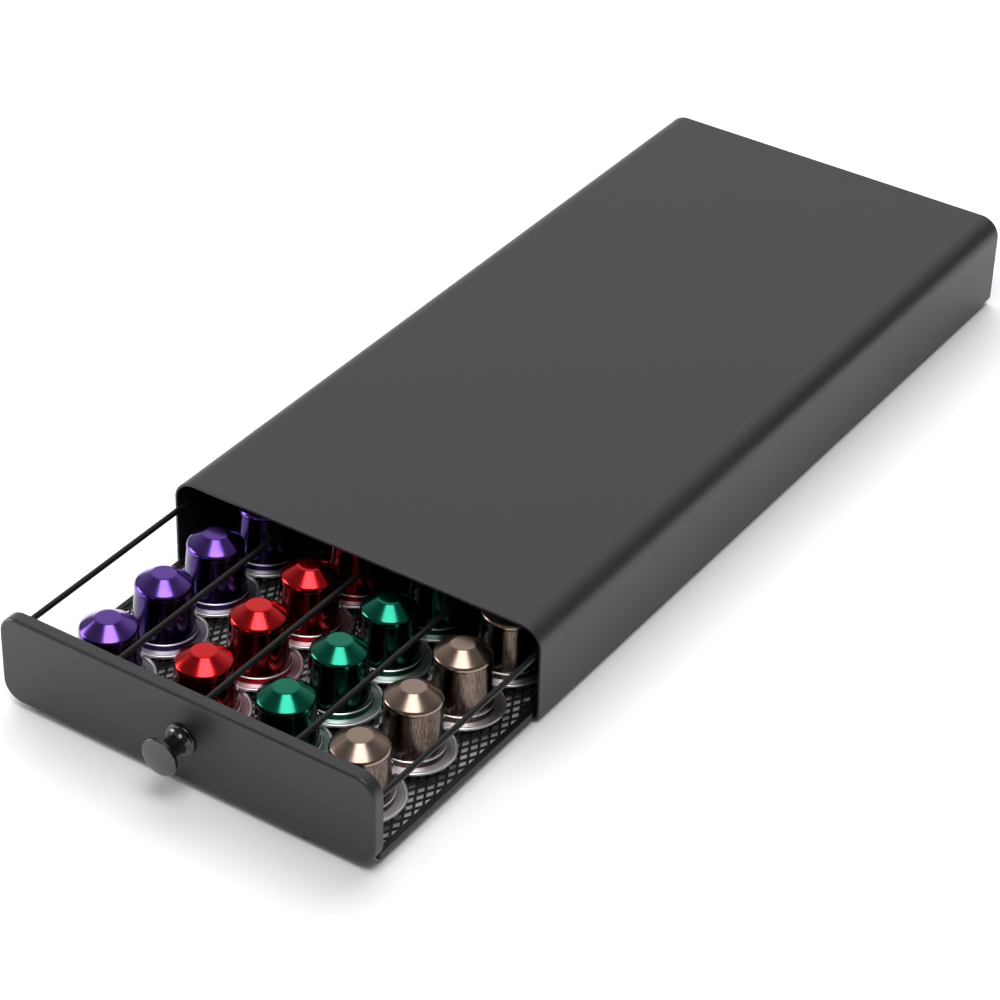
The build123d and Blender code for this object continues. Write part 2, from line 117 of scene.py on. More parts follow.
# ---- the studio ----
WHITE = (1, 1, 1, 1)
FLOOR_HALF = 7.0              # metres
FLOOR_COLOUR = (0.93, 0.93, 0.935, 1)
FLOOR_PAINTED_GLOW = 0.35            # painted glow: emission that lifts the floor to plain white and fades its shadow away from the drawer
FLOOR_PAINTED_GLOW_FROM = 0.085      # metres from the footprint at which the painted glow is full
FLOOR_DROP = 0.0002           # metres
STUDIO_DIM = 0.16             # strength of the world away from the rear light
REAR_LIGHT = (-0.42, 0.66, 0.62)
REAR_EDGE, REAR_CORE = 0.58, 0.93    # cosines between which the rear light fades in
REAR_FILL = 2.6               # its strength on matt surfaces
REAR_SHINE = 0.8              # its strength in mirrored rays
LAMP_AIM = (0, 0, 0.02)       # metres

# ---- the photograph's camera, fitted to the housing's edges and the drawer's lines ----
CAMERA_AZIMUTH, CAMERA_ELEVATION, CAMERA_ROLL = 32.85, 34.88, 1.69    # degrees
CAMERA_AIM, CAMERA_DISTANCE = (12.69, -46.58, 26.6), 1367.26
FOCAL_PIXELS, PICTURE_PIXELS = 3241.97, 1000.0
SENSOR_WIDTH = 36.0


# ---- small tools for node trees ----
def add_node(tree, kind, inputs=None, **settings):
    """Adds a node. An input that is given a socket is linked, and any other value is typed in."""
    made = tree.nodes.new(kind)
    for name, value in settings.items():
        setattr(made, name, value)
    for key, value in (inputs or {}).items():
        socket = made.inputs[key]
        if isinstance(value, bpy.types.NodeSocket):
            tree.links.new(value, socket)
        else:
            socket.default_value = value
    return made


def new_tree(name, kind, inputs, outputs):
    """A node group with named inputs and outputs."""
    tree = bpy.data.node_groups.new(name, kind)
    for label, socket_type, value in inputs:
        socket = tree.interface.new_socket(label, in_out="INPUT", socket_type=socket_type)
        if value is not None:
            socket.default_value = value
    for label, socket_type in outputs:
        tree.interface.new_socket(label, in_out="OUTPUT", socket_type=socket_type)
    given = tree.nodes.new("NodeGroupInput").outputs
    result = tree.nodes.new("NodeGroupOutput").inputs
    return tree, given, result


def calc(tree, operation, *values, **settings):
    """The result of one sum on sockets and numbers."""
    node = add_node(tree, "ShaderNodeMath", dict(enumerate(values)), operation=operation, **settings)
    return node.outputs[0]


def mix_colour(tree, factor, first, second):
    """Sockets 6 and 7 of a Mix node are its two colours."""
    return add_node(tree, "ShaderNodeMix", {0: factor, 6: first, 7: second}, data_type="RGBA").outputs[2]


def grey(value, blue=1.04):
    """A near-neutral dark tone, a little bluer as blue goes up."""
    return (value, value * 0.985, value * blue, 1.0)


# ---- shared effects ----
def sprayed_coat_group():
    """Powder coat: soft clouds in colour and gloss, and the fine orange peel of the cured powder."""
    tree, given, result = new_tree(
        "sprayed coat", "ShaderNodeTree",
        [
            ("Colour", "NodeSocketColor", grey(0.02)),
            ("Cloud Colour", "NodeSocketColor", grey(0.03)),
            ("Cloud Scale", "NodeSocketFloat", 18.0),
            ("Peel Scale", "NodeSocketFloat", 900.0),
            ("Grain Scale", "NodeSocketFloat", 4200.0),
            ("Roughness", "NodeSocketFloat", 0.4),
            ("Roughness Spread", "NodeSocketFloat", 0.1),
        ],
        [("Colour", "NodeSocketColor"), ("Roughness", "NodeSocketFloat"), ("Height", "NodeSocketFloat")],
    )
    grain_in_colour, colour_shift, grain_in_height, cloud_middle = 0.35, -0.12, 0.3, 0.5
    place = add_node(tree, "ShaderNodeTexCoord").outputs["Object"]
    clouds = add_node(tree, "ShaderNodeTexNoise", {
        "Vector": place, "Scale": given["Cloud Scale"], "Detail": 4.0, "Roughness": 0.55}).outputs["Fac"]
    peel = add_node(tree, "ShaderNodeTexNoise", {
        "Vector": place, "Scale": given["Peel Scale"], "Detail": 2.0, "Roughness": 0.4}).outputs["Fac"]
    grain = add_node(tree, "ShaderNodeTexNoise", {
        "Vector": place, "Scale": given["Grain Scale"], "Detail": 1.0, "Roughness": 0.5}).outputs["Fac"]
    speckle = calc(tree, "MULTIPLY_ADD", grain, grain_in_colour, colour_shift)
    amount = calc(tree, "ADD", clouds, speckle)
    tree.links.new(mix_colour(tree, amount, given["Colour"], given["Cloud Colour"]), result["Colour"])
    swing = calc(tree, "SUBTRACT", clouds, cloud_middle)
    gloss = calc(tree, "MULTIPLY_ADD", swing, given["Roughness Spread"], given["Roughness"])
    tree.links.new(gloss, result["Roughness"])
    tree.links.new(calc(tree, "MULTIPLY_ADD", grain, grain_in_height, peel), result["Height"])
    return tree


def streaks_and_body_shade_group():
    """Streaks of drawn metal on a pod's body, a slow drift of tone round it, and painted shade that darkens
    the body below the cone and tip.

    The attribute "turned" wraps the pattern round a turned piece, and "drawn" is 1 on the body.
    """
    tree, given, result = new_tree(
        "drawn streaks and painted body shade", "ShaderNodeTree",
        [
            ("Streak Scale", "NodeSocketFloat", 40.0),
            ("Streak Length", "NodeSocketFloat", 0.25),
            ("Contrast", "NodeSocketFloat", 1.0),
            ("Plain Level", "NodeSocketFloat", 0.8),
            # painted shade on the pod's body
            ("Painted Body Shade", "NodeSocketFloat", -0.55),
        ],
        [("Mask", "NodeSocketFloat"), ("Height", "NodeSocketFloat")],
    )
    drift_scale, drift_share, pattern_middle, plain_trace = 2.5, 0.5, 0.75, 0.02
    turned = add_node(tree, "ShaderNodeAttribute", attribute_name="turned").outputs["Vector"]
    parts = add_node(tree, "ShaderNodeSeparateXYZ", {"Vector": turned}).outputs
    drawn = add_node(tree, "ShaderNodeAttribute", attribute_name="drawn").outputs["Fac"]
    along = calc(tree, "MULTIPLY", parts["Z"], given["Streak Length"])
    wrapped = add_node(tree, "ShaderNodeCombineXYZ", {
        "X": parts["X"], "Y": parts["Y"], "Z": along}).outputs[0]
    streaks = add_node(tree, "ShaderNodeTexNoise", {
        "Vector": wrapped, "Scale": given["Streak Scale"], "Detail": 3.0, "Roughness": 0.65}).outputs["Fac"]
    drift = add_node(tree, "ShaderNodeTexNoise", {
        "Vector": wrapped, "Scale": drift_scale, "Detail": 1.0}).outputs["Fac"]
    both = calc(tree, "MULTIPLY_ADD", drift, drift_share, streaks)
    swing = calc(tree, "MULTIPLY", calc(tree, "SUBTRACT", both, pattern_middle), given["Contrast"])
    # painted shade: on the body, where "drawn" is 1, the mask drops well below the plain level, so the pod's
    # sides come out darker than its cone and tip
    level = calc(tree, "MULTIPLY_ADD", drawn, given["Painted Body Shade"], given["Plain Level"])
    faded = calc(tree, "MULTIPLY_ADD", drawn, 1 - plain_trace, plain_trace)
    tree.links.new(calc(tree, "MULTIPLY_ADD", swing, faded, level, use_clamp=True), result["Mask"])
    tree.links.new(calc(tree, "MULTIPLY", streaks, faded), result["Height"])
    return tree


SPRAYED_COAT = sprayed_coat_group()
STREAKS_AND_BODY_SHADE = streaks_and_body_shade_group()


# ---- finishes ----
def new_material(name, **fixed):
    """A material whose Principled shader has its plain values typed on its own sockets."""
    material = bpy.data.materials.new(name)
    material.use_nodes = True
    tree = material.node_tree
    shader = tree.nodes["Principled BSDF"]
    for label, value in fixed.items():
        shader.inputs[label.replace("_", " ")].default_value = value
    return material, tree, shader


def bump_from(tree, shader, height, strength, depth):
    """A bump from a height, its depth in metres."""
    bump = add_node(tree, "ShaderNodeBump", {"Height": height, "Strength": strength, "Distance": depth})
    tree.links.new(bump.outputs["Normal"], shader.inputs["Normal"])


def coated(name, colour, cloud, roughness, spread=0.1, peel=0.25, depth=0.00004, **fixed):
    """A finish with the sprayed coat's clouds and orange peel."""
    material, tree, shader = new_material(name, **fixed)
    coat = add_node(tree, "ShaderNodeGroup", {
        "Colour": colour, "Cloud Colour": cloud, "Roughness": roughness, "Roughness Spread": spread,
    }, node_tree=SPRAYED_COAT)
    tree.links.new(coat.outputs["Colour"], shader.inputs["Base Color"])
    tree.links.new(coat.outputs["Roughness"], shader.inputs["Roughness"])
    bump_from(tree, shader, coat.outputs["Height"], peel, depth)
    return material


def lacquered(name, deep, bright, streak_scale, contrast, gloss=0.10, spread=0.12, bump=0.2, depth=0.00006):
    """Coloured lacquer over drawn aluminium, with painted shade that pulls the body towards the deep colour.
    """
    material, tree, shader = new_material(name, Metallic=1.0, Coat_Weight=0.25, Coat_Roughness=0.12)
    streaks = add_node(tree, "ShaderNodeGroup", {
        "Streak Scale": streak_scale, "Contrast": contrast}, node_tree=STREAKS_AND_BODY_SHADE)
    streak_and_shade_mask = streaks.outputs["Mask"]
    tree.links.new(mix_colour(tree, streak_and_shade_mask, deep, bright), shader.inputs["Base Color"])
    tree.links.new(calc(tree, "MULTIPLY_ADD", streak_and_shade_mask, spread, gloss), shader.inputs["Roughness"])
    bump_from(tree, shader, streaks.outputs["Height"], bump, depth)
    return material


def flange_metal(colour, deep, bright):
    """Rolled aluminium that takes a little of the pod's colour."""
    return lacquered("flange by " + colour, deep, bright, 20.0, 0.8, gloss=0.30, spread=0.08, bump=0.03)


POWDER = coated(
    "satin black powder coat", grey(0.015, 1.16), grey(0.021, 1.16), 0.40, peel=0.10, depth=0.00003)
WIRE_COAT = coated(
    "satin black coat on wire", grey(0.004), grey(0.008), 0.36, peel=0.2, depth=0.00003,
    Specular_IOR_Level=0.3)
NET_COAT = coated(
    "black coat on expanded metal", grey(0.004), grey(0.008), 0.42, peel=0.2, depth=0.00003,
    Specular_IOR_Level=0.35)
ENAMEL = coated(
    "gloss black enamel", grey(0.004), grey(0.007), 0.13, spread=0.05, peel=0.06, depth=0.00002,
    Coat_Weight=0.6, Coat_Roughness=0.06)
RUBBER = coated("black rubber", grey(0.012), grey(0.022), 0.7, peel=0.5, depth=0.00006)
ZINC = coated("zinc plate", (0.52, 0.53, 0.55, 1), (0.66, 0.66, 0.67, 1), 0.33, peel=0.3, Metallic=1.0)
RIVET = coated("blackened rivet", grey(0.05), grey(0.09), 0.4, peel=0.3, Metallic=1.0)

# The deep colours carry the painted shade on each pod's body as well as its dark streaks; the bright colours
# are mostly what shows on the cone and tip.
POD_FINISH = {
    "purple": lacquered("purple lacquer", (0.010, 0.004, 0.030, 1), (0.15, 0.065, 0.40, 1), 26.0, 1.0),
    "red": lacquered("red lacquer", (0.12, 0.001, 0.002, 1), (0.80, 0.016, 0.022, 1), 26.0, 1.0),
    "green": lacquered("green lacquer", (0.0, 0.014, 0.011, 1), (0.004, 0.20, 0.125, 1), 26.0, 1.0),
    "bronze": lacquered("bronze lacquer", (0.045, 0.029, 0.022, 1), (0.36, 0.265, 0.215, 1), 34.0, 2.0,
                        gloss=0.14, spread=0.14, bump=0.45),
}
POD_RIM_FINISH = {
    "purple": flange_metal("purple", (0.30, 0.26, 0.31, 1), (0.42, 0.38, 0.44, 1)),
    "red": flange_metal("red", (0.42, 0.25, 0.28, 1), (0.60, 0.40, 0.44, 1)),
    "green": flange_metal("green", (0.26, 0.34, 0.31, 1), (0.40, 0.50, 0.47, 1)),
    "bronze": flange_metal("bronze", (0.40, 0.35, 0.36, 1), (0.56, 0.50, 0.51, 1)),
}
BEAD_FINISH = lacquered(
    "bright bead", (0.70, 0.69, 0.70, 1), (0.88, 0.87, 0.88, 1), 16.0, 1.0, gloss=0.32, spread=0.06, bump=0.0)


# ---- making and placing pieces ----
def new_piece(name, mesh, *materials):
    piece = bpy.data.objects.new(name, mesh)
    bpy.context.scene.collection.objects.link(piece)
    for material in materials:
        mesh.materials.append(material)
    return piece


def settle(piece):
    """Fixes a piece's modifiers into its mesh."""
    graph = bpy.context.evaluated_depsgraph_get()
    done = bpy.data.meshes.new_from_object(
        piece.evaluated_get(graph), preserve_all_data_layers=True, depsgraph=graph)
    before = piece.data
    piece.modifiers.clear()
    piece.data = done
    bpy.data.meshes.remove(before)
    done.name = piece.name
    return piece


def face_outwards(mesh):
    """Merges doubles and points every face out."""
    shape = bmesh.new()
    shape.from_mesh(mesh)
    bmesh.ops.remove_doubles(shape, verts=shape.verts, dist=1e-6)
    bmesh.ops.recalc_face_normals(shape, faces=shape.faces)
    shape.to_mesh(mesh)
    shape.free()


def smooth(piece, sharp_angle=50):
    """Smooth shading that large flat faces keep flat, and that breaks at sharp edges."""
    for face in piece.data.polygons:
        face.use_smooth = True
    piece.data.set_sharp_from_angle(angle=math.radians(sharp_angle))
    weighted = piece.modifiers.new("flat faces stay flat", "WEIGHTED_NORMAL")
    weighted.keep_sharp = True
    return settle(piece)


def stands_for(piece, body, slot, *nodes):
    """Puts a piece on the body it rides on and hides the part's nodes that it replaces. Its slot is not used.
    """
    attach(piece, body)
    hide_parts(*nodes)


def corner_arc(centre_x, centre_z, radius, start, sweep, steps):
    """Points of one bend, from an angle and over a sweep, in degrees."""
    turns = [math.radians(start + sweep * k / steps) for k in range(steps + 1)]
    return [(centre_x + radius * math.cos(a), centre_z + radius * math.sin(a)) for a in turns]


def ringed_form(name, rings, caps):
    """A closed form through rings of equal length. caps(size) gives the faces over an end ring."""
    size = len(rings[0])
    points = [Vector(p) * MM for ring in rings for p in ring]
    faces = []
    for k in range(len(rings) - 1):
        for i in range(size):
            j = (i + 1) % size
            faces.append((k * size + i, k * size + j, (k + 1) * size + j, (k + 1) * size + i))
    for first in (0, (len(rings) - 1) * size):
        faces += [tuple(first + i for i in face) for face in caps(size)]
    mesh = bpy.data.meshes.new(name)
    mesh.from_pydata(points, [], faces)
    face_outwards(mesh)
    return mesh


def lip_steps():
    """The rounding of a cut edge: how far in and how far along, from the cut face on."""
    turns = [math.radians(90 * k / LIP_STEPS) for k in range(LIP_STEPS + 1)]
    return [(LIP * (1 - math.sin(a)), LIP * (1 - math.cos(a))) for a in turns]


# ---- housing ----
def shell_path(inset):
    """The bent sheet's line from one base flange round to the other, taken in by inset."""
    low, high = SHELL_BOTTOM + inset, SHELL_TOP - inset
    base, top = BASE_BEND - inset, TOP_BEND - inset
    side = SHELL_HALF - inset
    left = [(-FLANGE_EDGE_X, low)]
    left += corner_arc(-side + base, low + base, base, 270, -90, BASE_BEND_STEPS)
    left += corner_arc(-side + top, high - top, top, 180, -90, TOP_BEND_STEPS)
    return left + [(-x, z) for x, z in reversed(left)]


def shell_loop(inset):
    """The sheet's closed section, its cut edges taken in by inset."""
    def edge_in(path):
        first, *between, last = path
        return [(first[0] - inset, first[1]), *between, (last[0] + inset, last[1])]
    return edge_in(shell_path(inset)) + list(reversed(edge_in(shell_path(SHEET - inset))))


def strip_cap(size):
    """Quads across a sheet's cut end. Its section runs out along one face and back along the other."""
    return [(i, i + 1, size - 2 - i, size - 1 - i) for i in range(size // 2 - 1)]


def build_housing_shell():
    rear = MOUTH_Y + SHELL_DEPTH
    lengths = 6
    stations = [(MOUTH_Y + along, inset) for inset, along in lip_steps()]
    stations += [(MOUTH_Y + SHELL_DEPTH * k / lengths, 0.0) for k in range(1, lengths)]
    stations += [(rear - along, inset) for inset, along in reversed(lip_steps())]
    rings = [[(x, y, z) for x, z in shell_loop(inset)] for y, inset in stations]
    shell = smooth(new_piece("shell_steel", ringed_form("shell_steel", rings, strip_cap), POWDER))
    stands_for(shell, HOUSING, "powder_coat", "housing_shell")


def rounded_ring(half, low, high, base, top, y, inset):
    """A rounded rectangle in X and Z, taken in by inset, at one depth."""
    half, low, high = half - inset, low + inset, high - inset
    base, top = max(base - inset, SMALLEST_CORNER), max(top - inset, SMALLEST_CORNER)
    right = corner_arc(half - base, low + base, base, 270, 90, LOW_CORNER_STEPS)
    right += corner_arc(half - top, high - top, top, 0, 90, HIGH_CORNER_STEPS)
    return [(x, y, z) for x, z in right + [(-x, z) for x, z in reversed(right)]]


def one_cap(size):
    return [tuple(range(size))]


def pan_rings(half, low, high, base, top, face_y, rim_y, bend):
    """Rings of a shallow folded pan, from the middle of its face round the rim to its inner face."""
    toward = math.copysign(1, rim_y - face_y)

    def ring(depth, inset):
        return rounded_ring(half, low, high, base, top, face_y + toward * depth, inset)

    def quarter(steps):
        return [math.radians(90 * k / steps) for k in range(steps + 1)]

    deep = abs(rim_y - face_y)
    fold = max(bend - SHEET, SMALLEST_FOLD)
    rings = [ring(0.0, bend * FACE_RING)]
    rings += [ring(bend * (1 - math.cos(a)), bend * (1 - math.sin(a))) for a in quarter(7)]
    rings += [ring(deep - along, inset) for inset, along in reversed(lip_steps())]
    rings += [ring(deep - along, SHEET - inset) for inset, along in lip_steps()]
    rings += [ring(SHEET + fold * (1 - math.sin(a)), SHEET + fold * (1 - math.cos(a))) for a in quarter(4)]
    rings.append(ring(SHEET, SHEET + fold + bend))
    return rings


def build_back_panel():
    rings = pan_rings(
        SHELL_HALF - BACK_INSET, SHELL_BOTTOM + BACK_INSET, SHELL_TOP - BACK_INSET,
        BASE_BEND - BACK_INSET, TOP_BEND - BACK_INSET, BACK_REAR_Y, BACK_FRONT_Y, BACK_BEND)
    panel = smooth(new_piece("back_steel", ringed_form("back_steel", rings, one_cap), POWDER))
    stands_for(panel, HOUSING, "powder_coat", "back_panel")


def build_front_panel():
    rings = pan_rings(
        PANEL_HALF, PANEL_LOW, PANEL_HIGH, PANEL_CORNER, PANEL_CORNER,
        PANEL_FACE_Y, PANEL_RIM_Y, PANEL_BEND)
    panel = smooth(new_piece("front_steel", ringed_form("front_steel", rings, one_cap), POWDER))
    stands_for(panel, DRAWER, "powder_coat", "front_panel")


# ---- turned pieces ----
def in_finish(points, finish):
    """Adds the number of a finish to each (radius, height)."""
    return [(radius, height, finish) for radius, height in points]


def stretch(start, end, steps):
    """Points along a straight stretch of a profile, both ends included."""
    return [tuple(a + (b - a) * k / steps for a, b in zip(start, end)) for k in range(steps + 1)]


def bowed(start, middle, end, steps):
    """Points of a soft curve through a middle point."""
    pull = [2 * m - (a + b) / 2 for a, m, b in zip(start, middle, end)]
    points = []
    for k in range(steps + 1):
        t = k / steps
        points.append(tuple(
            (1 - t) ** 2 * a + 2 * t * (1 - t) * c + t * t * b for a, c, b in zip(start, pull, end)))
    return points


def lathe(name, profile, where, sides, materials):
    """Turns a profile of (radius, height, finish number), bottom centre first, and places it."""
    points, turned, drawn, faces, finishes, rings = [], [], [], [], [], []
    for radius, height, finish in profile:
        count = sides if radius > 0 else 1
        rings.append(range(len(points), len(points) + count))
        for k in range(count):
            a = 2 * math.pi * k / sides
            spoke = (math.cos(a), math.sin(a)) if count > 1 else (0.0, 0.0)
            points.append(where @ (Vector((radius * spoke[0], radius * spoke[1], height)) * MM))
            turned += [*spoke, height / POD_HEIGHT + max(radius, 0.01) / (2 * POD_HEIGHT)]
            drawn.append(1.0 if finish == LACQUER and height < DRAWN_TOP else 0.0)
    for ring, (low, high) in enumerate(zip(rings, rings[1:])):
        for k in range(sides):
            n = (k + 1) % sides
            if len(low) == 1:
                face = (low[0], high[n], high[k])
            elif len(high) == 1:
                face = (low[k], low[n], high[0])
            else:
                face = (low[k], low[n], high[n], high[k])
            faces.append(face)
            finishes.append(profile[ring][2])
    mesh = bpy.data.meshes.new(name)
    mesh.from_pydata(points, [], faces)
    piece = new_piece(name, mesh, *materials)
    mesh.attributes.new("turned", "FLOAT_VECTOR", "POINT").data.foreach_set("vector", turned)
    mesh.attributes.new("drawn", "FLOAT", "POINT").data.foreach_set("value", drawn)
    mesh.polygons.foreach_set("material_index", finishes)
    return piece


def build_knob():
    """A turned knob: a flared base on the panel, a neck, and a spreading head with a soft dome."""
    base, neck, head, tip = 7.0, 4.2, 8.2, 15.0
    flare_low, flare_high = 1.2, 4.8
    spread_low, spread_high = 8.2, 12.4
    sag = 0.3
    dome_edge, dome_foot = head - 0.35, 14.18
    flare_middle = (neck + sag * (base - neck), flare_low + sag * (flare_high - flare_low))
    spread_middle = (neck + sag * (head - neck), spread_high - sag * (spread_high - spread_low))
    outline = [(0, 0), (base - 0.3, 0), (base - 0.08, 0.09), (base, 0.3), (base, 0.9), (base - 0.1, 1.15)]
    outline += bowed((base - 0.2, flare_low + 0.05), flare_middle, (neck, flare_high), 12)
    outline += [(neck, 6.5)]
    outline += bowed((neck, spread_low), spread_middle, (head - 0.25, spread_high - 0.1), 12)
    outline += [(head - 0.08, 12.42), (head, 12.65), (head, 13.75), (head - 0.1, 14.0)]
    outline += [(dome_edge, dome_foot)]
    for radius in (6.8, 5.4, 3.9, 2.4, 1.0):
        outline.append((radius, dome_foot + (tip - dome_foot) * (1 - (radius / dome_edge) ** 2)))
    outline += [(0, tip)]
    middle = Vector((0, PANEL_FACE_Y, (PANEL_LOW + PANEL_HIGH) / 2)) * MM
    where = Matrix.Translation(middle) @ Matrix.Rotation(math.radians(90), 4, "X")
    knob = lathe("knob_turned", in_finish(outline, 0), where, 72, [ENAMEL])
    stands_for(smooth(knob, 60), DRAWER, "knob_gloss", "knob")


def build_panel_feet():
    """Rubber pegs with a rounded foot and a waist that snaps into the panel's flange."""
    outline = [(0, 0), (0.9, 0.03), (1.4, 0.25), (1.75, 0.65), (1.9, 1.15), (1.9, 2.6), (1.1, 2.6),
               (1.1, 3.8), (1.7, 3.8), (1.7, 4.5), (1.5, 4.7), (0, 4.7)]
    for side in SIDES:
        low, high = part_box("panel_foot_" + side)
        where = Matrix.Translation(Vector(((low.x + high.x) / 2, (low.y + high.y) / 2, low.z)))
        foot = lathe("peg_" + side, in_finish(outline, 0), where, 32, [RUBBER])
        stands_for(smooth(foot, 60), DRAWER, "rubber", "panel_foot_" + side)


def pod_profile():
    """A pod on its lid: rolled bead, groove, ribbed flange, step ring, drawn body, cone and flat tip."""
    lid = [(0, LID_HEIGHT), (12.0, LID_HEIGHT), (16.7, LID_HEIGHT)]
    bead = corner_arc(BEAD_RING, BEAD_RADIUS, BEAD_RADIUS, -120, 255, 15)
    groove = [(17.15, 0.95), (16.95, 0.62), (16.7, 0.6), (16.45, 0.85)]
    flange = []
    for k in range(RIBS * RIB_STEPS + 1):
        wave = 0.5 - 0.5 * math.cos(2 * math.pi * k / RIB_STEPS)
        flange.append((FLANGE_OUTER - FLANGE_WIDTH * k / (RIBS * RIB_STEPS), FLANGE_TOP + RIB_HEIGHT * wave))
    flange.append((14.12, 0.8))
    step_wall = [(14.0, 0.9), (13.92, 1.1), (13.88, 3.0)]
    step_ring = [(13.96, 3.15), (13.98, 3.3), (13.85, 3.5)]
    step_top = [(13.5, 3.62), (13.3, 3.8)]
    body = stretch(BODY_FOOT, BODY_TOP, 6)
    ridge = [(11.98, 23.3), (12.06, 23.55), (12.04, 23.9)]
    shoulder = corner_arc(*SHOULDER_CENTRE, SHOULDER_RADIUS, 8, 40, 4)
    cone = stretch(CONE_FOOT, CONE_TOP, 3)[1:]
    tip_edge = [(5.4, 29.63), (5.15, 29.78), (4.85, 29.9), (4.5, 29.97)]
    tip = [(4.1, POD_HEIGHT), (2.0, POD_HEIGHT), (0, POD_HEIGHT)]
    return [
        *in_finish(lid, RIM), *in_finish(bead, BRIGHT), *in_finish(groove + flange, RIM),
        *in_finish(step_wall, LACQUER), *in_finish(step_ring, BRIGHT),
        *in_finish(step_top + body + ridge + shoulder + cone + tip_edge + tip, LACQUER),
    ]


def build_pods():
    """A lane of each colour. The first pod stands flat, and each next one leans on the rim in front."""
    profile = pod_profile()
    for colour, lacquer in POD_FINISH.items():
        for row in (1, 2, 3, 4):
            node = "pod_%s_%d" % (colour, row)
            low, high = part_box(node)
            lean = POD_LEAN if row > 1 else 0.0
            foot_z = low.z + BEAD_RING * MM * math.sin(lean)
            foot = Vector(((low.x + high.x) / 2, (low.y + high.y) / 2, foot_z))
            own_turn = 0.9 * row + len(colour)    # so that no two pods show the same streaks
            turn = Matrix.Rotation(-lean, 4, "X") @ Matrix.Rotation(own_turn, 4, "Z")
            pod = lathe("pod_cup_%s_%d" % (colour, row), profile, Matrix.Translation(foot) @ turn,
                        POD_SIDES, [POD_RIM_FINISH[colour], lacquer, BEAD_FINISH])
            stands_for(smooth(pod, 75), DRAWER, "pod_" + colour, node)


# ---- wires, bars and the net ----
def wire_tree():
    """Round wire along a path: corners rounded, ends closed."""
    tree, given, result = new_tree(
        "wire along a path", "GeometryNodeTree",
        [
            ("Path", "NodeSocketGeometry", None),
            ("Wire Radius", "NodeSocketFloat", WIRE_RADIUS * MM),
            ("Bend Radius", "NodeSocketFloat", WIRE_BEND * MM),
            ("Bend Steps", "NodeSocketInt", WIRE_BEND_STEPS),
            ("Sides", "NodeSocketInt", WIRE_SIDES),
            ("Finish", "NodeSocketMaterial", None),
        ],
        [("Wire", "NodeSocketGeometry")],
    )
    line = add_node(tree, "GeometryNodeMeshToCurve", {"Mesh": given["Path"]})
    bent = add_node(tree, "GeometryNodeFilletCurve", {
        "Curve": line.outputs[0], "Count": given["Bend Steps"], "Radius": given["Bend Radius"],
        "Limit Radius": True}, mode="POLY")
    round_section = add_node(tree, "GeometryNodeCurvePrimitiveCircle", {
        "Resolution": given["Sides"], "Radius": given["Wire Radius"]})
    swept = add_node(tree, "GeometryNodeCurveToMesh", {
        "Curve": bent.outputs[0], "Profile Curve": round_section.outputs[0], "Fill Caps": True})
    real = add_node(tree, "GeometryNodeRealizeInstances", {"Geometry": swept.outputs[0]})
    coated_wire = add_node(tree, "GeometryNodeSetMaterial", {
        "Geometry": real.outputs[0], "Material": given["Finish"]})
    tree.links.new(coated_wire.outputs[0], result["Wire"])
    return tree


def net_tree():
    """Expanded metal: one crossing with four tilted strands, repeated over a grid."""
    tree, given, result = new_tree(
        "expanded metal", "GeometryNodeTree",
        [
            ("Base", "NodeSocketGeometry", None),
            ("Cell Width", "NodeSocketFloat", 0.0041),
            ("Cell Length", "NodeSocketFloat", 0.0074),
            ("Columns", "NodeSocketInt", NET_COLUMNS),
            ("Rows", "NodeSocketInt", NET_ROWS),
            ("Strand Width", "NodeSocketFloat", STRAND_WIDTH * MM),
            ("Strand Thickness", "NodeSocketFloat", STRAND_THICKNESS * MM),
            ("Strand Tilt", "NodeSocketFloat", STRAND_TILT),
            ("Finish", "NodeSocketMaterial", None),
        ],
        [("Net", "NodeSocketGeometry")],
    )

    def spread(size, count):
        return calc(tree, "MULTIPLY", size, calc(tree, "SUBTRACT", count, 1.0))

    strand_section = add_node(tree, "GeometryNodeCurvePrimitiveQuadrilateral", {
        "Width": given["Strand Width"], "Height": given["Strand Thickness"]})
    joined = add_node(tree, "GeometryNodeJoinGeometry")
    for across in (-0.5, 0.5):
        for along in (-0.5, 0.5):
            end = add_node(tree, "ShaderNodeCombineXYZ", {
                "X": calc(tree, "MULTIPLY", given["Cell Width"], across),
                "Y": calc(tree, "MULTIPLY", given["Cell Length"], along)})
            line = add_node(tree, "GeometryNodeCurvePrimitiveLine", {"End": end.outputs[0]})
            tilt = calc(tree, "MULTIPLY", given["Strand Tilt"], math.copysign(1, across))
            turned = add_node(tree, "GeometryNodeSetCurveTilt", {"Curve": line.outputs[0], "Tilt": tilt})
            strand = add_node(tree, "GeometryNodeCurveToMesh", {
                "Curve": turned.outputs[0], "Profile Curve": strand_section.outputs[0],
                "Fill Caps": True})
            tree.links.new(strand.outputs[0], joined.inputs[0])
    grid = add_node(tree, "GeometryNodeMeshGrid", {
        "Size X": spread(given["Cell Width"], given["Columns"]),
        "Size Y": spread(given["Cell Length"], given["Rows"]),
        "Vertices X": given["Columns"], "Vertices Y": given["Rows"]})
    repeated = add_node(tree, "GeometryNodeInstanceOnPoints", {
        "Points": grid.outputs[0], "Instance": joined.outputs[0]})
    real = add_node(tree, "GeometryNodeRealizeInstances", {"Geometry": repeated.outputs[0]})
    coated_net = add_node(tree, "GeometryNodeSetMaterial", {
        "Geometry": real.outputs[0], "Material": given["Finish"]})
    tree.links.new(coated_net.outputs[0], result["Net"])
    return tree


def grow(piece, tree, values):
    """Runs a geometry tree on a piece with named values, and keeps the result as a plain mesh."""
    modifier = piece.modifiers.new(tree.name, "NODES")
    modifier.node_group = tree
    for item in tree.interface.items_tree:
        if item.item_type == "SOCKET" and item.in_out == "INPUT" and item.name in values:
            modifier[item.identifier] = values[item.name]
    return settle(piece)


WIRE_TREE = wire_tree()


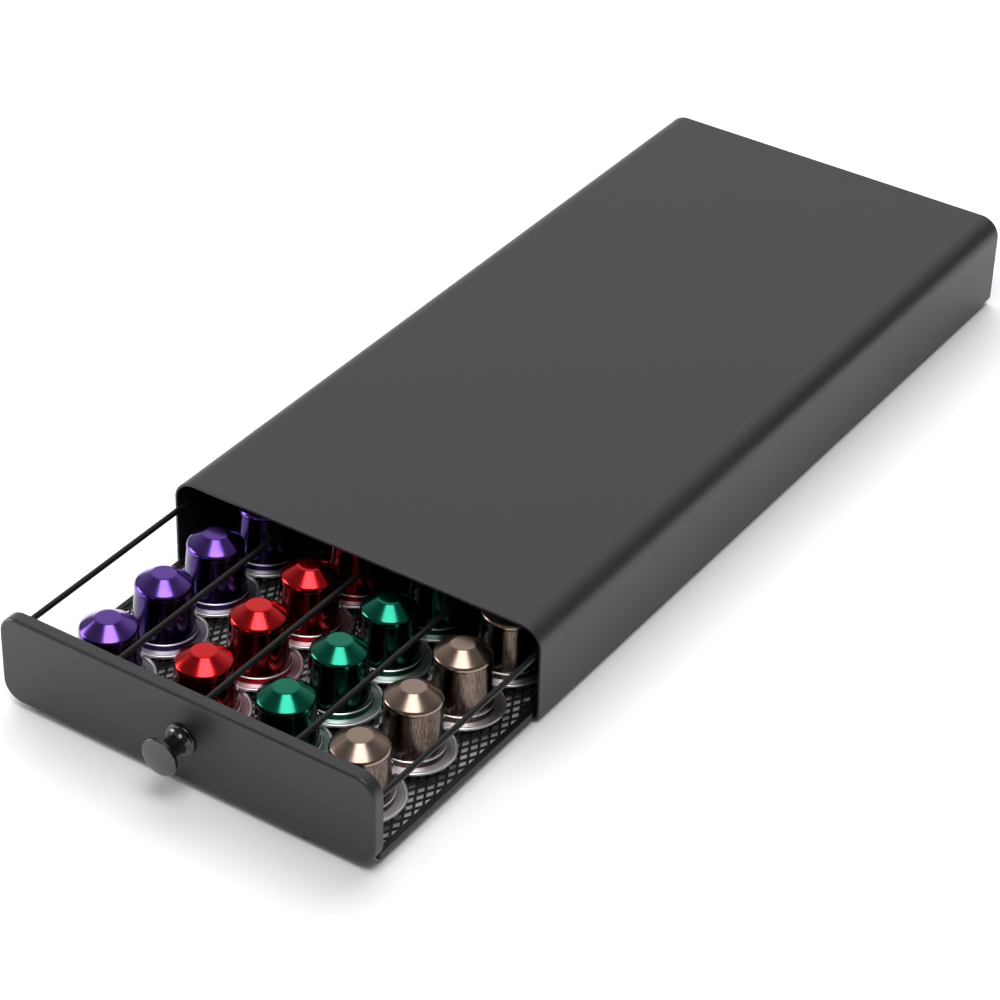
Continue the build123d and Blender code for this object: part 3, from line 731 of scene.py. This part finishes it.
def build_wire(name, corners, radius, node):
    """A wire through corner points, its corners bent."""
    mesh = bpy.data.meshes.new(name)
    edges = [(k, k + 1) for k in range(len(corners) - 1)]
    mesh.from_pydata([Vector(p) * MM for p in corners], edges, [])
    wire = grow(new_piece(name, mesh), WIRE_TREE, {
        "Wire Radius": radius * MM, "Bend Radius": WIRE_BEND * MM, "Bend Steps": WIRE_BEND_STEPS,
        "Sides": WIRE_SIDES, "Finish": WIRE_COAT})
    face_outwards(wire.data)
    stands_for(smooth(wire), DRAWER, "wire_coat", node)


def place_of(node):
    """The middle, low corner and high corner of one of the part's nodes, in millimetres."""
    low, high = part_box(node)
    return (low + high) / 2 / MM, low / MM, high / MM


def build_straight_wire(name, node, axis, radius=WIRE_RADIUS):
    """A straight wire from end to end of its node along one axis: 0 is X, 1 is Y and 2 is Z."""
    start, low, high = place_of(node)
    end = start.copy()
    start[axis], end[axis] = low[axis], high[axis]
    build_wire(name, [start, end], radius, node)


def build_wires():
    for side in SIDES:
        build_straight_wire("rail_" + side, "side_rail_" + side, 1)
        build_straight_wire("support_" + side, "support_wire_" + side, 1, SUPPORT_RADIUS)
        build_straight_wire("post_" + side, "rail_post_" + side, 2)
    build_straight_wire("rail_rear", "rear_rail_wire", 0)
    for lane in ("left", "centre", "right"):
        centre, low, high = place_of("lane_divider_" + lane)
        front, rear, level = low.y + WIRE_RADIUS, high.y - WIRE_RADIUS, high.z - WIRE_RADIUS
        corners = [(front, low.z), (front, level), (rear, level), (rear, low.z)]
        build_wire("divider_" + lane, [(centre.x, y, z) for y, z in corners],
                   WIRE_RADIUS, "lane_divider_" + lane)


def build_bars():
    """Square frame bars with softened edges."""
    for side in (*SIDES, "front", "rear"):
        low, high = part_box("frame_bar_" + side)
        mesh = bpy.data.meshes.new("bar_" + side)
        shape = bmesh.new()
        bmesh.ops.create_cube(shape, size=1.0)
        bmesh.ops.scale(shape, vec=high - low, verts=shape.verts)
        bmesh.ops.translate(shape, vec=(low + high) / 2, verts=shape.verts)
        bmesh.ops.bevel(shape, geom=list(shape.edges), offset=BAR_EDGE * MM, segments=3, profile=0.5,
                        affect="EDGES")
        bmesh.ops.recalc_face_normals(shape, faces=shape.faces)
        shape.to_mesh(mesh)
        shape.free()
        bar = smooth(new_piece("bar_" + side, mesh, WIRE_COAT))
        stands_for(bar, DRAWER, "wire_coat", "frame_bar_" + side)


def build_net():
    """The floor's fine net, its cells shared out over the part's plate."""
    low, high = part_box("mesh_floor")
    net = grow(new_piece("net", bpy.data.meshes.new("net")), net_tree(), {
        "Cell Width": (high.x - low.x) / NET_COLUMNS, "Cell Length": (high.y - low.y) / NET_ROWS,
        "Columns": NET_COLUMNS, "Rows": NET_ROWS, "Strand Width": STRAND_WIDTH * MM,
        "Strand Thickness": STRAND_THICKNESS * MM, "Strand Tilt": STRAND_TILT, "Finish": NET_COAT})
    net.data.transform(Matrix.Translation((low + high) / 2))
    stands_for(net, DRAWER, "mesh", "mesh_floor")


def finish_kept_nodes():
    """Materials for the pieces that are shown as they are in the part."""
    finishes = {"base_strap": POWDER, "back_rivets": RIVET, "knob_washer": ZINC, "knob_screw": ZINC}
    for side in SIDES:
        finishes["stop_tab_" + side] = WIRE_COAT
        finishes["foot_pad_front_" + side] = RUBBER
        finishes["foot_pad_rear_" + side] = RUBBER
    for node, finish in finishes.items():
        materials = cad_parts[node].data.materials
        materials.clear()
        materials.append(finish)


# ---- floor, world, lamps and camera ----
def build_floor():
    """A matt floor that takes the soft shadows, with a painted glow that brightens it to plain white away
    from the drawer and fades the shadow there.
    """
    mesh = bpy.data.meshes.new("studio_floor")
    corners = [(x * FLOOR_HALF, y * FLOOR_HALF, 0) for x, y in ((-1, -1), (1, -1), (1, 1), (-1, 1))]
    mesh.from_pydata(corners, [], [(0, 1, 2, 3)])
    material, tree, shader = new_material(
        "studio floor", Base_Color=FLOOR_COLOUR, Roughness=0.9, Specular_IOR_Level=0.0,
        Emission_Color=WHITE)
    ray = add_node(tree, "ShaderNodeLightPath").outputs
    seen_or_glossy = calc(tree, "MAXIMUM", ray["Is Camera Ray"], ray["Is Glossy Ray"])
    place = add_node(tree, "ShaderNodeTexCoord").outputs["Object"]
    spot = add_node(tree, "ShaderNodeSeparateXYZ", {"Vector": place}).outputs

    def beyond(axis, edge):
        """How far a spot lies outside the footprint along one axis."""
        return calc(tree, "MAXIMUM", calc(tree, "SUBTRACT", calc(tree, "ABSOLUTE", spot[axis]), edge), 0.0)

    across, along = beyond("X", cad_high[0]), beyond("Y", cad_high[1])
    away = calc(tree, "SQRT", calc(tree, "MULTIPLY_ADD", across, across,
                                   calc(tree, "MULTIPLY", along, along)))
    # painted glow, seen by the camera and in reflections: none at the drawer's footprint and full further
    # out, so the shadow fades to white
    clear = add_node(tree, "ShaderNodeMapRange", {
        "Value": away, "From Max": FLOOR_PAINTED_GLOW_FROM, "To Max": FLOOR_PAINTED_GLOW},
        interpolation_type="SMOOTHSTEP")
    tree.links.new(calc(tree, "MULTIPLY", seen_or_glossy, clear.outputs[0]),
                   shader.inputs["Emission Strength"])
    floor = new_piece("studio_floor", mesh, material)
    floor.location.z = -FLOOR_DROP


def build_world():
    """A dim studio with a broad soft light behind the drawer. The backdrop itself is white."""
    world = bpy.data.worlds.new("studio")
    bpy.context.scene.world = world
    world.use_nodes = True
    tree = world.node_tree
    back = tree.nodes["Background"]
    back.inputs["Color"].default_value = WHITE
    ray = add_node(tree, "ShaderNodeLightPath").outputs
    direction = add_node(tree, "ShaderNodeTexCoord").outputs["Generated"]
    nearness = add_node(
        tree, "ShaderNodeVectorMath", {0: direction, 1: REAR_LIGHT}, operation="DOT_PRODUCT")
    patch = add_node(tree, "ShaderNodeMapRange", {
        "Value": nearness.outputs["Value"], "From Min": REAR_EDGE, "From Max": REAR_CORE},
        interpolation_type="SMOOTHSTEP")
    mirrored = calc(tree, "MAXIMUM", ray["Is Glossy Ray"], ray["Is Transmission Ray"])
    brightest = add_node(tree, "ShaderNodeMapRange", {
        "Value": mirrored, "To Min": REAR_FILL, "To Max": REAR_SHINE})
    studio = add_node(tree, "ShaderNodeMapRange", {
        "Value": patch.outputs[0], "To Min": STUDIO_DIM, "To Max": brightest.outputs[0]})
    strength = add_node(tree, "ShaderNodeMapRange", {
        "Value": ray["Is Camera Ray"], "To Min": studio.outputs[0], "To Max": 1.0})
    tree.links.new(strength.outputs[0], back.inputs["Strength"])


def add_lamp(name, direction, distance, width, height, watts):
    """A soft box that faces the drawer, its lengths in metres. The camera doesn't see it."""
    lamp = bpy.data.lights.new(name, "AREA")
    lamp.shape = "RECTANGLE"
    lamp.size, lamp.size_y, lamp.energy = width, height, watts
    holder = bpy.data.objects.new(name, lamp)
    holder.visible_camera = False
    bpy.context.scene.collection.objects.link(holder)
    towards = Vector(direction).normalized()
    turn = towards.to_track_quat("Z", "Y").to_matrix().to_4x4()
    holder.matrix_world = Matrix.Translation(Vector(LAMP_AIM) + towards * distance) @ turn


def add_camera():
    azimuth, elevation, roll = (math.radians(a) for a in (CAMERA_AZIMUTH, CAMERA_ELEVATION, CAMERA_ROLL))
    back = Vector((math.sin(azimuth) * math.cos(elevation), -math.cos(azimuth) * math.cos(elevation),
                   math.sin(elevation)))
    right = Vector((math.cos(azimuth), math.sin(azimuth), 0))
    up = back.cross(right)
    turned_right = right * math.cos(roll) + up * math.sin(roll)
    turned_up = up * math.cos(roll) - right * math.sin(roll)
    lens = bpy.data.cameras.new("camera")
    lens.sensor_width = SENSOR_WIDTH
    lens.lens = FOCAL_PIXELS * SENSOR_WIDTH / PICTURE_PIXELS
    lens.clip_start, lens.clip_end = 0.01, 50.0
    camera = bpy.data.objects.new("camera", lens)
    bpy.context.scene.collection.objects.link(camera)
    turn = Matrix((turned_right, turned_up, back)).transposed().to_4x4()
    camera.matrix_world = Matrix.Translation((Vector(CAMERA_AIM) + back * CAMERA_DISTANCE) * MM) @ turn
    bpy.context.scene.camera = camera


# ---- build ----
build_housing_shell()
build_back_panel()
build_front_panel()
build_knob()
build_panel_feet()
build_bars()
build_wires()
build_net()
build_pods()
finish_kept_nodes()
build_floor()
build_world()
add_lamp("key softbox", (0.21, -0.33, 0.92), distance=1.5, width=0.9, height=0.7, watts=10.5)
add_lamp("front left softbox", (-0.80, -0.55, 0.20), distance=0.6, width=0.25, height=0.25, watts=1.2)
add_camera()
bpy.context.scene.view_settings.view_transform = "Standard"
